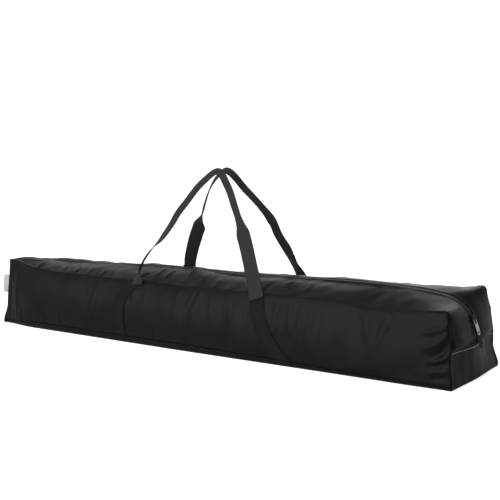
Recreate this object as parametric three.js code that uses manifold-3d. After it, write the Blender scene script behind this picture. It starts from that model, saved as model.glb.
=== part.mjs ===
// A background support kit packed in its carry bag: a long black fabric bag with a zip along the top and
// two webbing handles, and inside it two folded light stands and a crossbar in three sections.
// Millimetres. +Z is up, +X runs along the bag to the end where the zip closes, +Y points to the back.
// The origin is on the underside, in the middle of the bag.
import * as THREE from 'three';
import { mergeVertices } from 'three/addons/utils/BufferGeometryUtils.js';
import Module from 'manifold-3d';

// Bag.
const BAG_LENGTH = 1166;
const BOTTOM_WIDTH = 244;
const SHOULDER_WIDTH = 208;
const SHOULDER_HEIGHT = 140;
const RIDGE_HEIGHT = 160;
const LEFT_LEAN = 0.07;
const RIGHT_LEAN = 0.2;
const FABRIC = 2;
const GAP = 0.4;
const BASE_LIP = 15;
const BASE_CORNER = 5;
const LOWER_END_HEIGHT = 76;

// Zip.
const ZIP_OPENING = 16;
const RIDGE_BEND = 30;
const SHOULDER_BEND = 8;
const TAPE_THICKNESS = 0.8;
const TAPE_DEPTH = 1.2;
const COIL_WIDTH = 3;
const COIL_THICKNESS = 2.2;
const SLIDER_HEIGHT = 118;
const SLIDER_LENGTH = 15;
const SLIDER_WIDTH = 11;
const SLIDER_TOP = 2.2;
const BRIDGE_TOP = 6;
const PULL_LENGTH = 34;
const PULL_WIDTH = 12.5;
const PULL_THICKNESS = 1.6;
const PULL_SWING = 18;

// Webbing. Places along a handle are [x, share of the way up to its top].
const WEBBING = 30;
const STRAP_THICKNESS = 1.5;
const STRAP_TOP = 136;
const STRAP_FOOT = 9;
const TAB_FOOT = 60;
const TAB_TOP = 82;
const LABEL_FOOT = 72;
const LABEL_TOP = 114;
const LABEL_REACH = 15;
const HANDLE_THICKNESS = 2.2;
const HANDLE_BASE = 137;
const HANDLE_TOP = 376;
const HANDLE_BASE_OFFSET = 3.3;
const GRIP_OFFSET = 16.5;
const FRONT_HANDLE = [
  [-170, 0], [-171, 0.14], [-151, 0.29], [-122, 0.43], [-86, 0.7], [-51, 0.9],
  [-18, 1], [16, 0.88], [45, 0.71], [81, 0.48], [115, 0.23], [146, 0],
];
const BACK_HANDLE = [
  [-186, 0], [-164, 0.19], [-135, 0.42], [-109, 0.6], [-79, 0.79], [-51, 0.92],
  [-20, 1], [25, 0.82], [60, 0.65], [87, 0.42], [112, 0.2], [128, 0],
];

// Folded stands and crossbar sections.
const TUBE_SIDES = 12;
const STAND_Y = 47;
const STAND_Z = 39.5;
const STAND_START = -520;
const LEG_CIRCLE = 29;
const LEG_RADIUS = 8;
const LEG_START = 22;
const LEG_END = 787;
const HUB_RADIUS = 36;
const CROSSBAR_RADIUS = 14;
const CROSSBAR_LENGTH = 1010;
const CROSSBAR_PLACES = [[-62, 98], [0, 98], [62, 98]];

function paint(color, roughness, metalness) {
  return new THREE.MeshStandardMaterial({ color, roughness, metalness });
}

const nylon = paint(0x1c1d1f, 0.62, 0);
const webbing = paint(0x202123, 0.75, 0);
const zipTape = paint(0x141415, 0.8, 0);
const zipCoil = paint(0x0e0e10, 0.4, 0);
const zipMetal = paint(0xc9ccd0, 0.28, 1);
const labelCloth = paint(0xdfe4e6, 0.85, 0);
const blackTube = paint(0x18191b, 0.45, 0.4);
const silverTube = paint(0xb9bcc0, 0.35, 1);
const blackPlastic = paint(0x151516, 0.55, 0);
const blackRubber = paint(0x1a1a1a, 0.9, 0);

const { lerp, smoothstep, degToRad } = THREE.MathUtils;
const wasm = await Module();
wasm.setup();
const part = new THREE.Group();

function addMesh(name, geometry, material, parent = part) {
  const mesh = new THREE.Mesh(geometry, material);
  mesh.name = name;
  parent.add(mesh);
  return mesh;
}

// ---- Sheets ----

// Stations from 0 to 1 in equal steps.
function evenly(steps) {
  return Array.from({ length: steps + 1 }, (_, step) => step / steps);
}

// A closed sheet whose outer face is surface(u, v), lifted outwards by lift. u and v take the given stations.
function sheet(surface, thickness, stationsU, stationsV, lift = 0) {
  const stepsU = stationsU.length - 1;
  const stepsV = stationsV.length - 1;
  const geometry = new THREE.BoxGeometry(1, 1, 1, stepsU, stepsV, 1);
  const position = geometry.attributes.position;
  const small = 1e-4;
  for (let i = 0; i < position.count; i += 1) {
    const u = stationsU[Math.round((position.getX(i) + 0.5) * stepsU)];
    const v = stationsV[Math.round((position.getY(i) + 0.5) * stepsV)];
    const depth = (0.5 - position.getZ(i)) * thickness - lift;
    const alongU = surface(Math.min(u + small, 1), v).sub(surface(Math.max(u - small, 0), v));
    const alongV = surface(u, Math.min(v + small, 1)).sub(surface(u, Math.max(v - small, 0)));
    const outward = alongU.cross(alongV).normalize();
    const point = surface(u, v).addScaledVector(outward, -depth);
    position.setXYZ(i, point.x, point.y, point.z);
  }
  geometry.deleteAttribute('normal');
  geometry.deleteAttribute('uv');
  const merged = mergeVertices(geometry, 1e-4);
  merged.computeVertexNormals();
  return merged;
}

// The same sheet on the back of the bag: Y changes sign, so the faces are turned round.
function mirroredInY(geometry) {
  const copy = geometry.clone().scale(1, -1, 1);
  const { index } = copy;
  for (let i = 0; i < index.count; i += 3) {
    const second = index.getX(i + 1);
    index.setX(i + 1, index.getX(i + 2));
    index.setX(i + 2, second);
  }
  copy.computeVertexNormals();
  return copy;
}

// ---- Outline of the bag ----

// Half the outer width at a height: the sides lean inwards.
function halfWidth(z) {
  return lerp(BOTTOM_WIDTH / 2, SHOULDER_WIDTH / 2, z / SHOULDER_HEIGHT);
}

// Places of the end faces at a height. The left one leans inwards evenly. The right one is upright up to
// its level seam and leans inwards above it.
function leftEnd(z) {
  return LEFT_LEAN * z - BAG_LENGTH / 2;
}

function rightEnd(z) {
  return BAG_LENGTH / 2 - RIGHT_LEAN * Math.max(z - LOWER_END_HEIGHT, 0);
}

// A point on the front of the bag, lifted off it.
function onFront(x, z, lift = 0) {
  return new THREE.Vector3(x, -halfWidth(z) - lift, z);
}

function sidePanel() {
  const foot = BASE_LIP + GAP;
  const surface = (u, v) => {
    const z = lerp(foot, SHOULDER_HEIGHT, v);
    return onFront(lerp(leftEnd(z), rightEnd(z), u), z);
  };
  const level = (LOWER_END_HEIGHT - foot) / (SHOULDER_HEIGHT - foot);
  return sheet(surface, FABRIC, evenly(1), [0, level, 1]);
}

// The base: flat underneath, with both long edges turned up as a low lip.
function bottomPanel() {
  const foot = halfWidth(0) - BASE_CORNER;
  const outer = new THREE.Path()
    .moveTo(-halfWidth(BASE_LIP), BASE_LIP)
    .lineTo(-halfWidth(BASE_CORNER), BASE_CORNER)
    .quadraticCurveTo(-halfWidth(0), 0, -foot, 0)
    .lineTo(foot, 0)
    .quadraticCurveTo(halfWidth(0), 0, halfWidth(BASE_CORNER), BASE_CORNER)
    .lineTo(halfWidth(BASE_LIP), BASE_LIP)
    .getPoints(4);
  const inwards = 1 - FABRIC / halfWidth(0);
  const inner = outer.map(({ x, y }) => new THREE.Vector2(x * inwards, Math.max(y, FABRIC)));
  const section = new THREE.Shape([...outer, ...inner.reverse()]);
  return new THREE.ExtrudeGeometry(section, { depth: BAG_LENGTH, bevelEnabled: false })
    .rotateX(Math.PI / 2)
    .rotateZ(Math.PI / 2)
    .translate(-BAG_LENGTH / 2, 0, 0);
}

// The left end: a flat wall with a peak under the ridge.
function leftEndPanel() {
  const underShoulder = SHOULDER_HEIGHT - FABRIC - 2 * GAP;
  const underRidge = RIDGE_HEIGHT - FABRIC - 2 * GAP;
  const surface = (u, v) => {
    const side = lerp(1, -1, u);
    const z = lerp(BASE_CORNER + GAP, lerp(underRidge, underShoulder, Math.abs(side)), v);
    return new THREE.Vector3(leftEnd(z), side * (halfWidth(z) - FABRIC - GAP), z);
  };
  return sheet(surface, FABRIC, evenly(2), evenly(1));
}

// The lower half of the right end.
function rightEndLowerPanel() {
  const surface = (u, v) => {
    const z = lerp(BASE_CORNER + GAP, LOWER_END_HEIGHT - GAP, v);
    return new THREE.Vector3(rightEnd(z), lerp(-1, 1, u) * (halfWidth(z) - FABRIC - GAP), z);
  };
  return sheet(surface, FABRIC, evenly(1), evenly(1));
}

// Stations of a profile over the top: the flat run, the bend at the right end, the end face.
const BEND_START = 0.8;
const BEND_END = 0.9;
const profileStations = [0, ...evenly(8).map((t) => lerp(BEND_START, BEND_END, t)), 1];

// A profile over the top and down the right end face, inset from the outside, as [x, z]. The bend is an
// arc that runs into both straight stretches.
const LEAN_ANGLE = Math.atan(RIGHT_LEAN);
function topProfile(s, top, bend, inset, foot) {
  const radius = bend - inset;
  const centreX = rightEnd(top - bend) - bend / Math.cos(LEAN_ANGLE);
  const centreZ = top - bend;
  if (s <= BEND_START) return [lerp(leftEnd(top), centreX, s / BEND_START), top - inset];
  if (s <= BEND_END) {
    const angle = (Math.PI / 2 - LEAN_ANGLE) * (s - BEND_START) / (BEND_END - BEND_START);
    return [centreX + radius * Math.sin(angle), centreZ + radius * Math.cos(angle)];
  }
  const z = lerp(centreZ + radius * Math.sin(LEAN_ANGLE), foot, (s - BEND_END) / (1 - BEND_END));
  return [rightEnd(z) - inset / Math.cos(LEAN_ANGLE), z];
}

const ridgeProfile = (s, inset = 0, foot = LOWER_END_HEIGHT) => (
  topProfile(s, RIDGE_HEIGHT, RIDGE_BEND, inset, foot));
const shoulderProfile = (s) => (
  topProfile(s, SHOULDER_HEIGHT - GAP, SHOULDER_BEND, 0, LOWER_END_HEIGHT));

// The front half of the top, from the shoulder seam to the zip, over the bend and half way down the end.
function topHalfPanel() {
  const surface = (s, v) => {
    const [ridgeX, ridgeZ] = ridgeProfile(s);
    const [shoulderX, shoulderZ] = shoulderProfile(s);
    const outside = halfWidth(shoulderZ) - FABRIC - GAP;
    return new THREE.Vector3(
      lerp(shoulderX, ridgeX, v),
      -lerp(outside, ZIP_OPENING / 2, v),
      lerp(shoulderZ, ridgeZ, v),
    );
  };
  return sheet(surface, FABRIC, profileStations, evenly(2));
}

// A strip beside the middle of the zip, from near to far off the middle line, all along the ridge.
function zipStrip(near, far, inset, thickness) {
  const surface = (s, v) => {
    const [x, z] = ridgeProfile(s, inset, LOWER_END_HEIGHT + GAP);
    return new THREE.Vector3(x, -lerp(far, near, v), z);
  };
  return sheet(surface, thickness, profileStations, evenly(1));
}

// ---- Zip slider, drawn flat on the end face: X out of the face, Y across, Z up along the zip ----

function asSolid(geometry) {
  const bare = geometry.index ? geometry.toNonIndexed() : geometry.clone();
  bare.deleteAttribute('normal');
  bare.deleteAttribute('uv');
  const merged = mergeVertices(bare, 1e-4);
  const mesh = new wasm.Mesh({
    numProp: 3,
    vertProperties: merged.attributes.position.array,
    triVerts: new Uint32Array(merged.index.array),
  });
  return new wasm.Manifold(mesh);
}

function asGeometry(solid) {
  const { vertProperties, triVerts } = solid.getMesh();
  const geometry = new THREE.BufferGeometry();
  geometry.setAttribute('position', new THREE.BufferAttribute(vertProperties, 3));
  geometry.setIndex(new THREE.BufferAttribute(triVerts, 1));
  geometry.computeVertexNormals();
  return geometry;
}

function polygon(corners) {
  return corners.map(([x, y]) => new THREE.Vector2(x, y));
}

// Body: a channel round the coils, and on it the bridge that holds the pull.
function sliderBody() {
  const half = SLIDER_WIDTH / 2;
  const channel = new THREE.Shape(polygon([
    [SLIDER_TOP - 0.8, -half], [SLIDER_TOP, -half + 1.2], [SLIDER_TOP, half - 1.2], [SLIDER_TOP - 0.8, half],
    [-0.9, half], [-0.9, half - 2], [GAP, half - 2], [GAP, -half + 2], [-0.9, -half + 2], [-0.9, -half],
  ]));
  const body = new THREE.ExtrudeGeometry(channel, { depth: SLIDER_LENGTH, bevelEnabled: false })
    .translate(0, 0, -SLIDER_LENGTH / 2);
  const arch = new THREE.Shape(polygon([
    [1.2, -6.6], [3.6, -6.6], [BRIDGE_TOP, -4.6], [BRIDGE_TOP, 4.6], [3.6, 6.6], [1.2, 6.6],
  ]));
  arch.holes.push(new THREE.Path(polygon([
    [SLIDER_TOP, -5], [4, -5], [4.6, -4], [4.6, 4], [4, 5], [SLIDER_TOP, 5],
  ])));
  const bridge = new THREE.ExtrudeGeometry(arch, { depth: 3, bevelEnabled: false })
    .rotateX(Math.PI / 2)
    .translate(0, 1.5, 0);
  return asGeometry(asSolid(body).add(asSolid(bridge)));
}

// Pull: a flat tab with round ends, a long hole that the bridge passes through and a small hole at its
// lower end. It is drawn in the YZ plane, hanging from the bar at its top, which is at the origin.
const BAR = 0.9;
const BAR_PLACE = [3.4, -2.9];
function pullTab() {
  const half = PULL_WIDTH / 2;
  const foot = BAR - PULL_LENGTH;
  const outline = new THREE.Shape()
    .moveTo(-half + 2, BAR)
    .lineTo(half - 2, BAR)
    .quadraticCurveTo(half - 0.6, BAR, half - 0.6, BAR - 2)
    .lineTo(half, foot + half)
    .absarc(0, foot + half, half, 0, -Math.PI, true)
    .lineTo(-half + 0.6, BAR - 2)
    .quadraticCurveTo(-half + 0.6, BAR, -half + 2, BAR);
  outline.holes.push(new THREE.Path(polygon([[-3.4, -BAR], [-3.4, -8], [-2, -9.5], [2, -9.5], [3.4, -8], [3.4, -BAR]])));
  const eye = new THREE.Path()
    .moveTo(-2, foot + 3.4)
    .lineTo(2, foot + 3.4)
    .absarc(2, foot + 5.6, 2.2, -Math.PI / 2, Math.PI / 2, false)
    .lineTo(-2, foot + 7.8)
    .absarc(-2, foot + 5.6, 2.2, Math.PI / 2, Math.PI * 1.5, false);
  outline.holes.push(eye);
  const settings = { depth: PULL_THICKNESS, bevelEnabled: false, curveSegments: 8 };
  return new THREE.ExtrudeGeometry(outline, settings)
    .translate(0, 0, -PULL_THICKNESS / 2)
    .rotateX(Math.PI / 2)
    .rotateZ(Math.PI / 2)
    .rotateX(degToRad(PULL_SWING));
}

// ---- Webbing ----

// Webbing sewn flat on the front of the bag along [x, z] places from its foot to its top. Both ends and
// every stitch row across it are level.
function sewnStrap(places) {
  const route = new THREE.SplineCurve(polygon(places));
  const lift = GAP + STRAP_THICKNESS;
  const surface = (u, v) => {
    const here = route.getPoint(u);
    return onFront(here.x + (0.5 - v) * WEBBING, here.y, lift);
  };
  return sheet(surface, STRAP_THICKNESS, evenly(8), evenly(1));
}

// A handle in the sloping plane from the shoulder to the grip above the zip. Its webbing lies against the
// bag at both ends and turns by a quarter on the way up, so that it lies flat in the hand at the top.
function handle(places) {
  const foot = onFront(0, HANDLE_BASE, HANDLE_BASE_OFFSET);
  const top = new THREE.Vector3(0, -GRIP_OFFSET, HANDLE_TOP);
  const upward = top.clone().sub(foot).normalize();
  const facing = new THREE.Vector3(0, -upward.z, upward.y);
  const route = new THREE.CatmullRomCurve3(
    places.map(([x, share]) => foot.clone().lerp(top, share).setX(x)),
    false,
    'centripetal',
  );
  const surface = (u, v) => {
    const here = route.getPoint(u);
    const share = (here.z - foot.z) / (top.z - foot.z);
    const flat = new THREE.Vector3(u < 0.5 ? -1 : 1, 0, 0);
    const inPlane = facing.clone().cross(route.getTangent(u));
    flat.lerp(inPlane, smoothstep(share, 0, 0.12));
    const turn = Math.PI / 2 * smoothstep(share, 0.2, 0.95);
    const across = flat.multiplyScalar(Math.cos(turn)).addScaledVector(facing, Math.sin(turn)).normalize();
    return here.addScaledVector(across, (v - 0.5) * WEBBING);
  };
  return sheet(surface, HANDLE_THICKNESS, evenly(36), evenly(1), HANDLE_THICKNESS / 2);
}

// The short webbing tab beside the foot of the zip, over the level seam.
function endTab() {
  const surface = (u, v) => {
    const z = lerp(TAB_FOOT, TAB_TOP, v);
    return new THREE.Vector3(rightEnd(z) + GAP + STRAP_THICKNESS, lerp(8, 22, u), z);
  };
  const level = (LOWER_END_HEIGHT - TAB_FOOT) / (TAB_TOP - TAB_FOOT);
  return sheet(surface, STRAP_THICKNESS, evenly(1), [0, level, 1]);
}

// The label caught in the left end seam, standing out past the end.
function sideLabel() {
  const surface = (u, v) => {
    const z = lerp(LABEL_FOOT, LABEL_TOP, v);
    return new THREE.Vector3(leftEnd(z) - lerp(LABEL_REACH, GAP, u), 4 - halfWidth(LABEL_TOP), z);
  };
  return sheet(surface, 0.8, evenly(1), evenly(1));
}

// ---- Stands and crossbar: turned pieces along X ----

// A turned piece from [radius, place along the axis] corners, in order round its section.
function turned(corners, sides = TUBE_SIDES) {
  return new THREE.LatheGeometry(polygon(corners), sides).rotateZ(-Math.PI / 2);
}

function tube(radius, wall, start, end) {
  const bore = radius - wall;
  return turned([[bore, start], [radius, start], [radius, end], [bore, end], [bore, start]]);
}

// A collar with a bore that steps from wide to narrow at the given place.
function collar(outside, wide, narrow, start, step, end) {
  return turned([
    [wide, start], [outside, start], [outside, end], [narrow, end], [narrow, step], [wide, step], [wide, start],
  ]);
}

// A clamp knob standing up from its collar: a short stem and a round head.
function knob(foot) {
  return new THREE.LatheGeometry(polygon([
    [0, foot], [4, foot], [4, foot + 5], [9, foot + 6], [9, foot + 13], [7, foot + 15], [0, foot + 15],
  ]), TUBE_SIDES).rotateX(Math.PI / 2);
}

// One folded stand along X from its feet at 0 to its stud. The column is three tubes, one in another.
function foldedStand(prefix, group) {
  const add = (name, geometry, material) => addMesh(`${prefix}_${name}`, geometry, material, group);
  add('lower_tube', tube(16, 1.3, 60, 900), blackTube);
  add('middle_tube', tube(13.4, 1.2, 90, 948), blackTube);
  add('top_tube', turned([
    [9.8, 120], [11, 120], [11, 985], [8, 988], [8, 1022], [6.5, 1024], [0, 1024], [0, 975], [9.8, 975], [9.8, 120],
  ]), silverTube);
  add('lower_clamp', collar(23, 16.4, 13.8, 868, 900.4, 920), blackPlastic);
  add('upper_clamp', collar(20, 13.8, 11.4, 922, 948.4, 970), blackPlastic);
  add('lower_knob', knob(23.4).translate(894, 0, 0), blackPlastic);
  add('upper_knob', knob(20.4).translate(946, 0, 0), blackPlastic);
  add('leg_collar', collar(HUB_RADIUS, 16.4, 16.4, LEG_END + GAP, 800, 830), blackPlastic);
  add('slide_collar', collar(19.9, 16.4, 16.4, 300, 320, 345), blackPlastic);
  for (let leg = 1; leg <= 3; leg += 1) {
    const round = new THREE.Group();
    round.rotation.x = degToRad(120 * leg - 30);
    group.add(round);
    const place = (name, geometry, material) => (
      addMesh(`${prefix}_${name}_${leg}`, geometry.translate(0, LEG_CIRCLE, 0), material, round));
    place('leg', tube(LEG_RADIUS, 1, LEG_START, LEG_END), blackTube);
    place('foot', turned([
      [0, 0], [7, 0], [10, 4], [10, 40], [8.4, 40], [8.4, LEG_START - GAP], [0, LEG_START - GAP],
    ]), blackRubber);
    const brace = new THREE.BoxGeometry(215, 2.4, 9).translate(346 + 215 / 2, 18.6 - LEG_CIRCLE, 0);
    place('brace', brace, silverTube);
  }
}

function crossbarSection() {
  const end = CROSSBAR_LENGTH / 2;
  const plug = end - 45;
  return turned([
    [12.8, -end], [CROSSBAR_RADIUS, -end], [CROSSBAR_RADIUS, plug], [12.4, plug + 1], [12.4, end],
    [11.2, end], [11.2, plug], [12.8, plug - 2], [12.8, -end],
  ]);
}

// ---- Assembly ----

addMesh('bottom_panel', bottomPanel(), nylon);
addMesh('front_panel', sidePanel(), nylon);
addMesh('back_panel', mirroredInY(sidePanel()), nylon);
addMesh('left_end_panel', leftEndPanel(), nylon);
addMesh('right_end_lower_panel', rightEndLowerPanel(), nylon);
addMesh('top_front_panel', topHalfPanel(), nylon);
addMesh('top_back_panel', mirroredInY(topHalfPanel()), nylon);

const tape = zipStrip(COIL_WIDTH + GAP, ZIP_OPENING / 2 - 2 * GAP, TAPE_DEPTH, TAPE_THICKNESS);
const coil = zipStrip(GAP / 2, COIL_WIDTH, 0, COIL_THICKNESS);
addMesh('zip_tape_front', tape, zipTape);
addMesh('zip_tape_back', mirroredInY(tape), zipTape);
addMesh('zip_coil_front', coil, zipCoil);
addMesh('zip_coil_back', mirroredInY(coil), zipCoil);

const zipEnd = new THREE.Group();
zipEnd.position.set(rightEnd(SLIDER_HEIGHT), 0, SLIDER_HEIGHT);
zipEnd.rotation.y = -LEAN_ANGLE;
part.add(zipEnd);
addMesh('zip_slider', sliderBody(), zipMetal, zipEnd);
addMesh('zip_pull', pullTab(), zipMetal, zipEnd).position.set(BAR_PLACE[0], 0, BAR_PLACE[1]);

addMesh('zip_end_tab', endTab(), webbing);

const leftStrap = sewnStrap([[-214, STRAP_FOOT], [-221, 55], [-212, 95], [-192, 120], [-170, STRAP_TOP]]);
const rightStrap = sewnStrap([[214, STRAP_FOOT], [189, 37], [171, 65], [153, 101], [146, STRAP_TOP]]);
addMesh('sewn_strap_front_left', leftStrap, webbing);
addMesh('sewn_strap_front_right', rightStrap, webbing);
addMesh('sewn_strap_back_left', mirroredInY(leftStrap).translate(-16, 0, 0), webbing);
addMesh('sewn_strap_back_right', mirroredInY(rightStrap).translate(-18, 0, 0), webbing);

addMesh('front_handle', handle(FRONT_HANDLE), webbing);
addMesh('back_handle', mirroredInY(handle(BACK_HANDLE)), webbing);

addMesh('side_label', sideLabel(), labelCloth);

for (const [prefix, side, turn] of [['stand_a', -1, 0], ['stand_b', 1, Math.PI]]) {
  const group = new THREE.Group();
  group.position.set(STAND_START * Math.cos(turn), side * STAND_Y, STAND_Z);
  group.rotation.z = turn;
  part.add(group);
  foldedStand(prefix, group);
}
CROSSBAR_PLACES.forEach(([y, z], i) => {
  addMesh(`crossbar_section_${i + 1}`, crossbarSection(), blackTube).position.set(0, y, z);
});

export default part;
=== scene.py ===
import math

import bpy
import numpy as np
from mathutils import Matrix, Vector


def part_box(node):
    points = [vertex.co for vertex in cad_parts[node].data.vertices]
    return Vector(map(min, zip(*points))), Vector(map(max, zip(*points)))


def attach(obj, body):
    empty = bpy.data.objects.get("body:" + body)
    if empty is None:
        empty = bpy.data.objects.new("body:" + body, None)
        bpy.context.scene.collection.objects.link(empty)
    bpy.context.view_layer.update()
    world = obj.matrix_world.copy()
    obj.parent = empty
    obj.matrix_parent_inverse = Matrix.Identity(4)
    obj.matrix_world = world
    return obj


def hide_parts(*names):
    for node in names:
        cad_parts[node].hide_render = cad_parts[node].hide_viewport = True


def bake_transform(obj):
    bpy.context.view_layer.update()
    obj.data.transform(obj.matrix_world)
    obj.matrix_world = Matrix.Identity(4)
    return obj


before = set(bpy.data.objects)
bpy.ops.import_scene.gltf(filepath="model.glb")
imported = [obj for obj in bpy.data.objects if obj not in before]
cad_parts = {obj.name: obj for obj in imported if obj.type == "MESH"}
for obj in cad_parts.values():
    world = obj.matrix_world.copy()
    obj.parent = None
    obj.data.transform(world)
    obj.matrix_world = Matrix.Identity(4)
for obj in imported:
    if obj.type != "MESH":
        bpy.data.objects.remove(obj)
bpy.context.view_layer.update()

MM = 0.001

# ---- Sizes, some read from the imported parts and the rest given -----------------------------
base_low, base_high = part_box("bottom_panel")
handle_low, handle_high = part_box("front_handle")
label_low, label_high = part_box("side_label")
tab_low, tab_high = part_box("zip_end_tab")

LEFT, RIGHT = base_low.x, base_high.x
LEFT_END = LEFT + 14.5 * MM
HALF_FOOT = base_high.y
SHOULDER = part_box("front_panel")[1].z
HALF_SHOULDER = HALF_FOOT - 18 * MM
ZIP_HALF = -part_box("top_front_panel")[1].y
LEVEL_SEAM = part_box("right_end_lower_panel")[1].z
RIGHT_LEAN = 0.20
FABRIC = 1.1 * MM
TURNED_IN = 6 * MM
WEBBING_THICK = 1.5 * MM
WEBBING_SHOWN = 32.5 * MM
HANDLE_BASE = handle_low.z
HANDLE_TOP = handle_high.z
HANDLE_BASE_REACH = HALF_SHOULDER + 3.7 * MM
HANDLE_TOP_REACH = 16.5 * MM


# ---- Small tools for lines and surfaces ----------------------------------------------------
def smooth(low, high, value):
    """0 below low, 1 above high, and 3t^2 - 2t^3 between."""
    t = np.clip((value - low) / (high - low), 0, 1)
    return t * t * (3 - 2 * t)


def through(knots, at):
    """A smooth line through knots (place, value...): cubic Hermite pieces with each knot's mean slope."""
    knots = np.asarray(knots, float)
    place, value = knots[:, 0], knots[:, 1:]
    slope = np.gradient(value, place, axis=0)
    at = np.clip(np.asarray(at, float), place[0], place[-1])
    i = np.clip(np.searchsorted(place, at) - 1, 0, len(place) - 2)
    step = place[i + 1] - place[i]
    t = ((at - place[i]) / step)[..., None]
    step = step[..., None]
    first = (2 * t**3 - 3 * t**2 + 1) * value[i] + (t**3 - 2 * t**2 + t) * step * slope[i]
    second = (3 * t**2 - 2 * t**3) * value[i + 1] + (t**3 - t**2) * step * slope[i + 1]
    found = first + second
    return found[..., 0] if found.shape[-1] == 1 else found


def lengths(points):
    """The length along a line of points up to each point."""
    steps = np.linalg.norm(np.diff(points, axis=0), axis=1)
    return np.concatenate([[0], np.cumsum(steps)])


def unit(vectors):
    """Each vector divided by its own length."""
    return vectors / np.maximum(np.linalg.norm(vectors, axis=-1, keepdims=True), 1e-12)


def ripple(a, b, seed, wave, height):
    """Small uneven waves: eight sines of about one wavelength, turned and shifted by a seeded draw."""
    draw = np.random.default_rng(seed)
    total = np.zeros(np.broadcast(a, b).shape)
    for _ in range(8):
        turn = draw.uniform(0, math.pi)
        size = wave * draw.uniform(0.7, 1.6)
        shift = draw.uniform(0, 2 * math.pi)
        total += np.sin(2 * math.pi * (a * math.cos(turn) + b * math.sin(turn)) / size + shift)
    return height * total / 8**0.5


def folds(a, b, rows):
    """The sum of folds. A row holds a line's start and end, a height, a width and a bow in mm, then a
    sharpness: a bell across the line, faded at both ends, on a line bowed sideways by a half sine;
    sharpness makes one flank steeper."""
    total = np.zeros(np.broadcast(a, b).shape)
    for *in_mm, sharp in rows:
        a0, b0, a1, b1, height, width, bow = np.array(in_mm) * MM
        line = np.array([a1 - a0, b1 - b0])
        length = math.hypot(*line)
        t = ((a - a0) * line[0] + (b - b0) * line[1]) / length**2
        across = ((b - b0) * line[0] - (a - a0) * line[1]) / length - bow * np.sin(math.pi * np.clip(t, 0, 1))
        fade = smooth(-0.08, 0.3, t) * (1 - smooth(0.7, 1.08, t))
        share = across / width
        total = total + height * fade * np.exp(-(share**2)) * (1 + sharp * share)
    return total


# ---- Mesh making ---------------------------------------------------------------------------
def mesh_object(name, points, faces, uv=None):
    """A smooth mesh piece at the origin from world points, with its flat-cloth UV map in metres."""
    mesh = bpy.data.meshes.new(name)
    mesh.from_pydata(np.asarray(points, float).reshape(-1, 3).tolist(), [], faces)
    if uv is not None:
        corner = np.zeros(len(mesh.loops), np.int32)
        mesh.loops.foreach_get("vertex_index", corner)
        layer = mesh.uv_layers.new(name="Cloth")
        layer.data.foreach_set("uv", np.asarray(uv, np.float32).reshape(-1, 2)[corner].ravel())
    mesh.polygons.foreach_set("use_smooth", np.ones(len(mesh.polygons), bool))
    mesh.update()
    piece = bpy.data.objects.new(name, mesh)
    bpy.context.scene.collection.objects.link(piece)
    return piece


def grid_faces(rows, columns, flip=False, closed=False):
    """The quads of a rows by columns grid; closed joins the last column to the first."""
    last = columns if closed else columns - 1
    r, c = np.meshgrid(np.arange(rows - 1), np.arange(last), indexing="ij")
    n = (c + 1) % columns
    quads = np.stack([r * columns + c, r * columns + n, (r + 1) * columns + n, (r + 1) * columns + c], -1)
    quads = quads.reshape(-1, 4)
    return (quads[:, ::-1] if flip else quads).tolist()


def cloth_piece(name, points, flat, material, flip=False, thick=FABRIC):
    """A sheet: a grid of points with a wall inwards; flat holds the cloth's own two lengths at each point."""
    rows, columns = points.shape[:2]
    piece = mesh_object(name, points, grid_faces(rows, columns, flip), flat)
    piece.data.materials.append(material)
    wall = piece.modifiers.new("wall", "SOLIDIFY")
    wall.thickness = thick
    wall.offset = -1
    wall.use_even_offset = False
    return piece


def ring(count):
    """A flat band's section: an oblong from -1 to 1 both ways, cos and sin pushed outwards by a power."""
    turn = np.linspace(0, 2 * math.pi, count, endpoint=False)
    c, s = np.cos(turn), np.sin(turn)
    return np.sign(c) * np.abs(c) ** 0.35, np.sign(s) * np.abs(s) ** 0.6


def band_piece(name, sections, along, width, material, flip=False):
    """A closed band from its rows of section rings (rows, ring points, 3), with both ends capped."""
    rows, count = sections.shape[:2]
    faces = grid_faces(rows, count, flip, closed=True)
    first = list(range(count))
    last = list(range((rows - 1) * count, rows * count))
    faces.append(first if flip else first[::-1])
    faces.append(last[::-1] if flip else last)
    side = ring(count)[0] * 0.5
    u = side[None, :] * np.broadcast_to(np.asarray(width, float).reshape(-1, 1), (rows, 1))
    v = np.repeat(np.asarray(along)[:, None], count, 1)
    piece = mesh_object(name, sections, faces, np.stack([u, v], -1))
    piece.data.materials.append(material)
    return piece


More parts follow.
